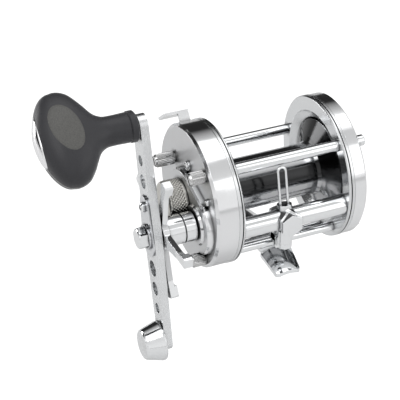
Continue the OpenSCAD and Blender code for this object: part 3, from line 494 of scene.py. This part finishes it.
def make_inset(side, name):
    """Oval panel on one flat side of the grip."""

    def skins_at(share, a):
        lift = INSET_PROUD * min((1 - share) * INSET_RIM_SLOPE, 1)
        across, up = INSET_HALF[0] * share * math.cos(a), INSET_HALF[1] * share * math.sin(a)
        d = INSET_CENTRE[0] + across * math.cos(INSET_TILT) + up * math.sin(INSET_TILT)
        along = INSET_CENTRE[1] - across * math.sin(INSET_TILT) + up * math.cos(INSET_TILT)
        height = grip_flat(d, along)
        return (knob_point(d, along, side * (height + lift - INSET_RIM_SUNK)),
                knob_point(d, along, side * (height - INSET_DEPTH)))

    skin(name, lens_rows(14, 72, skins_at), INSET_FINISH, "knob", [])


INSET_FINISH = moulded("grip_inset", (0.045, 0.045, 0.043), (0.155, 0.154, 0.147),
                       0.5, 2400, 0.09 * MM, 1.1)
BEAD_FINISH = moulded("grip_bead", (0.20, 0.20, 0.20), (0.34, 0.34, 0.34), 0.38, 2000, 0.02 * MM)
BEAD_START = 15.0
BEAD_RADIUS = 0.34
BEAD_SUNK = 0.12


def make_bead():
    """Parting bead round the outline of the grip's head."""
    steps, end_steps, around = 22, 26, 10
    side = [BEAD_START + (END_START - BEAD_START) * i / steps for i in range(steps)]
    side += [END_START + (GRIP_LENGTH - END_START) * math.sin(math.pi / 2 * i / end_steps)
             for i in range(end_steps)]
    path = [(d, grip_size(d)[0]) for d in side]
    path += [(GRIP_LENGTH, 0.0)] + [(d, -along) for d, along in reversed(path)]
    rows = []
    for i, (d, along) in enumerate(path):
        before, after = path[max(i - 1, 0)], path[min(i + 1, len(path) - 1)]
        step = Vector((after[0] - before[0], after[1] - before[1])).normalized()
        taper = min(1.0, 0.25 + 0.25 * min(i, len(path) - 1 - i))
        ring = []
        for j in range(around):
            a = TAU * j / around
            out, up = BEAD_RADIUS * taper * math.cos(a) - BEAD_SUNK, BEAD_RADIUS * taper * math.sin(a)
            ring.append(knob_point(d + step.y * -out, along + step.x * out, up))
        rows.append(ring)
    skin("knob_bead", rows, BEAD_FINISH, "knob", [])


END_HALVINGS = 30


def grip_end(along, flat):
    """Distance from the sleeve end at which the grip's far end passes a place, in mm."""
    near, far = END_START, GRIP_LENGTH
    for _ in range(END_HALVINGS):
        middle = (near + far) / 2
        half_length, half_thickness = grip_size(middle)
        reach = abs(along / half_length) ** SQUARENESS + abs(flat / half_thickness) ** SQUARENESS
        near, far = (middle, far) if reach < 1 else (near, middle)
    return near


BADGE_HALF = (10.6, 4.6)
BADGE_SHIFT = 0.8
BADGE_CROWN = 0.6
BADGE_RIM_SUNK = 0.04
BADGE_DEPTH = 0.6


def make_badge():
    """Lens-shaped badge on the far end of the grip."""

    def skins_at(share, a):
        along = BADGE_SHIFT + BADGE_HALF[0] * share * math.cos(a)
        flat = BADGE_HALF[1] * share * math.sin(a)
        d = grip_end(along, flat)
        lift = BADGE_CROWN * math.sqrt(max(1 - share ** 2, 0)) - BADGE_RIM_SUNK
        return knob_point(d + lift, along, flat), knob_point(d - BADGE_DEPTH, along, flat)

    skin("knob_badge_lens", lens_rows(12, 64, skins_at), FINISH["badge"], "knob", ["knob_badge"])


# ---------- turned pieces with relief ----------

def lathe(name, profile, relief, around, centre, finish, body, replaced):
    """A turned piece along X from (x, radius) points in metres; relief(x, angle) lowers its skin."""
    rows = []
    for x, radius in profile:
        row = []
        for j in range(around):
            a = TAU * j / around
            r = radius - relief(x, a)
            row.append(Vector((x, centre.y + r * math.cos(a), centre.z + r * math.sin(a))))
        rows.append(row)
    skin(name, rows, finish, body, replaced)


def saw(value):
    """0 at whole numbers, 1 half way between."""
    return 1 - abs(2 * (value % 1) - 1)


KNURLED_CHROME = polished("knurled_chrome", (0.56, 0.55, 0.52), 0.16, 0.0)


def make_cast_cap():
    """Cast control cap with a diamond knurl round its skirt."""
    low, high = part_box("cast_control_cap")
    radius = (high.y - low.y) / 2
    length = high.x - low.x
    knurl_from, knurl_to = low.x + 1.5 * MM, high.x - 1.0 * MM
    starts, pitch, depth = 36, 1.45 * MM, 0.5 * MM
    plain_depth = 0.12 * MM

    def diamond(x, angle):
        if not knurl_from < x < knurl_to:
            return plain_depth
        one = saw(starts * angle / TAU + (x - low.x) / pitch)
        two = saw(starts * angle / TAU - (x - low.x) / pitch)
        return depth * (1 - min(one, two))

    dome, dome_steps, steps = 1.5 * MM, 8, 44
    profile = [(low.x, radius * 0.05), (low.x, radius * 0.45), (low.x + 0.03 * MM, radius * 0.7)]
    for i in range(dome_steps + 1):
        a = math.pi / 2 * i / dome_steps
        profile.append((low.x + dome * (1 - math.cos(a)) + 0.04 * MM, radius - dome + dome * math.sin(a)))
    profile += [(low.x + dome + (length - dome) * i / steps, radius) for i in range(1, steps + 1)]
    profile += [(high.x, radius * 0.82), (high.x, radius * 0.5)]
    lathe("cast_cap_knurled", profile, diamond, 352, SPOOL_AXIS, KNURLED_CHROME, "cast_cap",
          ["cast_control_cap"])


def make_worm():
    """Worm with a groove of each hand, which turn back at its ends."""
    low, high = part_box("worm_shaft")
    radius, journal = 2.5 * MM, 1.5 * MM
    start, end = low.x, high.x
    tube_low, tube_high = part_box("worm_shield")
    inset, chamfer, step = 0.5 * MM, 0.15 * MM, 0.01 * MM
    thread_from, thread_to = tube_low.x + inset, tube_high.x - inset
    pitch, depth, run_out = 7.0 * MM, 0.8 * MM, 2 * MM
    width, flank = 0.36, 0.14

    def groove(x, angle):
        if not thread_from < x < thread_to:
            return 0.0
        ends = min(min(x - thread_from, thread_to - x) / run_out, 1)
        turns = angle / TAU
        one = saw((x - thread_from) / pitch + turns)
        two = saw((x - thread_from) / pitch - turns)
        near = min(one, two)
        return depth * ends * min(max((width - near) / flank, 0), 1)

    steps = 240
    profile = [(start, journal * 0.3), (start, journal * 0.9), (start + chamfer, journal),
               (thread_from - step, journal)]
    profile += [(thread_from + (thread_to - thread_from) * i / steps, radius) for i in range(steps + 1)]
    profile += [(thread_to + step, journal), (end - chamfer, journal), (end, journal * 0.9),
                (end, journal * 0.3)]
    lathe("worm_threaded", profile, groove, 64, WORM_AXIS, FINISH["satin_steel"], "worm",
          ["worm_shaft"])


# ---------- studio ----------

FLOOR_DROP = 0.012
FLOOR_HALF = 6.0
FLOOR_GLOW = 0.97


def make_floor():
    """Pale floor, low enough for the handle to turn above it."""
    grip_far = (KNOB_AXIS - DRIVE_AXIS).length + max(reach for _, reach in HALF_LENGTH) * MM
    z = DRIVE_AXIS.z - grip_far - FLOOR_DROP
    corners = [(x * FLOOR_HALF, y * FLOOR_HALF, z) for x, y in ((-1, -1), (1, -1), (1, 1), (-1, 1))]
    mesh = bpy.data.meshes.new("floor")
    mesh.from_pydata(corners, [], [(0, 1, 2, 3)])
    shader = Shader("floor_paper")
    shader.bsdf.inputs["Base Color"].default_value = (0.8, 0.8, 0.8, 1)
    shader.bsdf.inputs["Roughness"].default_value = 0.9
    glow = shader.nodes.new("ShaderNodeEmission")
    glow.inputs["Color"].default_value = (1, 1, 1, 1)
    path = shader.nodes.new("ShaderNodeLightPath")
    mix = shader.nodes.new("ShaderNodeMixShader")
    share = shader.math("MULTIPLY", path.outputs["Is Camera Ray"], FLOOR_GLOW)
    shader.link(share, mix.inputs[0])
    shader.link(shader.bsdf.outputs[0], mix.inputs[1])
    shader.link(glow.outputs[0], mix.inputs[2])
    shader.link(mix.outputs[0], shader.nodes["Material Output"].inputs["Surface"])
    mesh.materials.append(shader.material)
    floor = bpy.data.objects.new("floor", mesh)
    bpy.context.scene.collection.objects.link(floor)


# Brightness of the studio round the X axis: 0 is the back horizon, 0.25 overhead, 0.5 the front horizon
STUDIO_BANDS = [(0.0, 0.10), (0.02, 0.035), (0.10, 0.03), (0.13, 0.30), (0.18, 0.62), (0.215, 1.0),
                (0.27, 1.02), (0.285, 0.60), (0.33, 0.62), (0.42, 0.74), (0.5, 0.80), (0.75, 0.66),
                (0.955, 0.6)]


def make_world():
    """White behind the object, and a banded studio for its reflections."""
    world = bpy.data.worlds.new("studio")
    bpy.context.scene.world = world
    world.use_nodes = True
    nodes, links = world.node_tree.nodes, world.node_tree.links
    nodes.clear()
    coordinate = nodes.new("ShaderNodeTexCoord")
    split = nodes.new("ShaderNodeSeparateXYZ")
    links.new(coordinate.outputs["Generated"], split.inputs[0])
    angle = nodes.new("ShaderNodeMath")
    angle.operation = "ARCTAN2"
    links.new(split.outputs["Z"], angle.inputs[0])
    links.new(split.outputs["Y"], angle.inputs[1])
    turn = nodes.new("ShaderNodeMath")
    turn.operation = "DIVIDE"
    turn.inputs[1].default_value = TAU
    links.new(angle.outputs[0], turn.inputs[0])
    wrap = nodes.new("ShaderNodeMath")
    wrap.operation = "FRACT"
    links.new(turn.outputs[0], wrap.inputs[0])
    ramp = nodes.new("ShaderNodeValToRGB")
    stops = ramp.color_ramp.elements
    while len(stops) < len(STUDIO_BANDS):
        stops.new(0.5)
    for stop, (place, value) in zip(stops, STUDIO_BANDS):
        stop.position = place
        stop.color = (value, value, value, 1)
    links.new(wrap.outputs[0], ramp.inputs[0])
    reflected = nodes.new("ShaderNodeBackground")
    links.new(ramp.outputs[0], reflected.inputs["Color"])
    reflected.inputs["Strength"].default_value = 1.0
    seen = nodes.new("ShaderNodeBackground")
    seen.inputs["Color"].default_value = (1, 1, 1, 1)
    path = nodes.new("ShaderNodeLightPath")
    mix = nodes.new("ShaderNodeMixShader")
    links.new(path.outputs["Is Camera Ray"], mix.inputs[0])
    links.new(reflected.outputs[0], mix.inputs[1])
    links.new(seen.outputs[0], mix.inputs[2])
    output = nodes.new("ShaderNodeOutputWorld")
    links.new(mix.outputs[0], output.inputs["Surface"])


def area_light(name, place, aim, width, power):
    light = bpy.data.lights.new(name, "AREA")
    light.shape = "SQUARE"
    light.size = width
    light.energy = power
    lamp = bpy.data.objects.new(name, light)
    lamp.location = place
    lamp.rotation_mode = "QUATERNION"
    lamp.rotation_quaternion = (aim - place).to_track_quat("-Z", "Y")
    bpy.context.scene.collection.objects.link(lamp)


# Name, place from the middle of the object in metres, width in metres and power in watts
LIGHTS = [
    ("key", (-0.45, -0.35, 0.75), 0.5, 1.2),
    ("fill", (0.55, -0.55, 0.35), 0.6, 0.6),
    ("top", (0.1, 0.1, 0.9), 0.8, 1.0),
    ("back_card", (-0.60, 0.68, 0.10), 0.30, 1.2),
]


def make_lights():
    centre = (CAD_BOX[0] + CAD_BOX[1]) / 2
    for name, offset, width, power in LIGHTS:
        area_light(name, centre + Vector(offset), centre, width, power)


# The photograph's view: angles from the line side, distance and aim in metres, lens in mm
CAMERA_AZIMUTH = math.radians(-22.8)
CAMERA_ELEVATION = math.radians(31.3)
CAMERA_ROLL = math.radians(-1.1)
CAMERA_DISTANCE = 0.556
CAMERA_LENS = 121.4
CAMERA_SENSOR = 36
CAMERA_AIM = Vector((-0.0269, 0.0064, 0.0218))


def make_camera():
    data = bpy.data.cameras.new("camera")
    data.lens = CAMERA_LENS
    data.sensor_width = CAMERA_SENSOR
    camera = bpy.data.objects.new("camera", data)
    bpy.context.scene.collection.objects.link(camera)
    away = Vector((
        math.sin(CAMERA_AZIMUTH) * math.cos(CAMERA_ELEVATION),
        -math.cos(CAMERA_AZIMUTH) * math.cos(CAMERA_ELEVATION),
        math.sin(CAMERA_ELEVATION),
    ))
    camera.location = CAMERA_AIM + away * CAMERA_DISTANCE
    camera.rotation_mode = "QUATERNION"
    camera.rotation_quaternion = Quaternion(away, CAMERA_ROLL) @ (-away).to_track_quat("-Z", "Y")
    bpy.context.scene.camera = camera


dress_cad_nodes()
make_grip()
make_inset(1, "knob_inset_a")
make_inset(-1, "knob_inset_b")
make_bead()
make_badge()
make_cast_cap()
make_worm()
make_floor()
make_world()
make_lights()
make_camera()
bpy.context.scene.view_settings.view_transform = "Standard"
bpy.context.scene.view_settings.look = "Medium High Contrast"
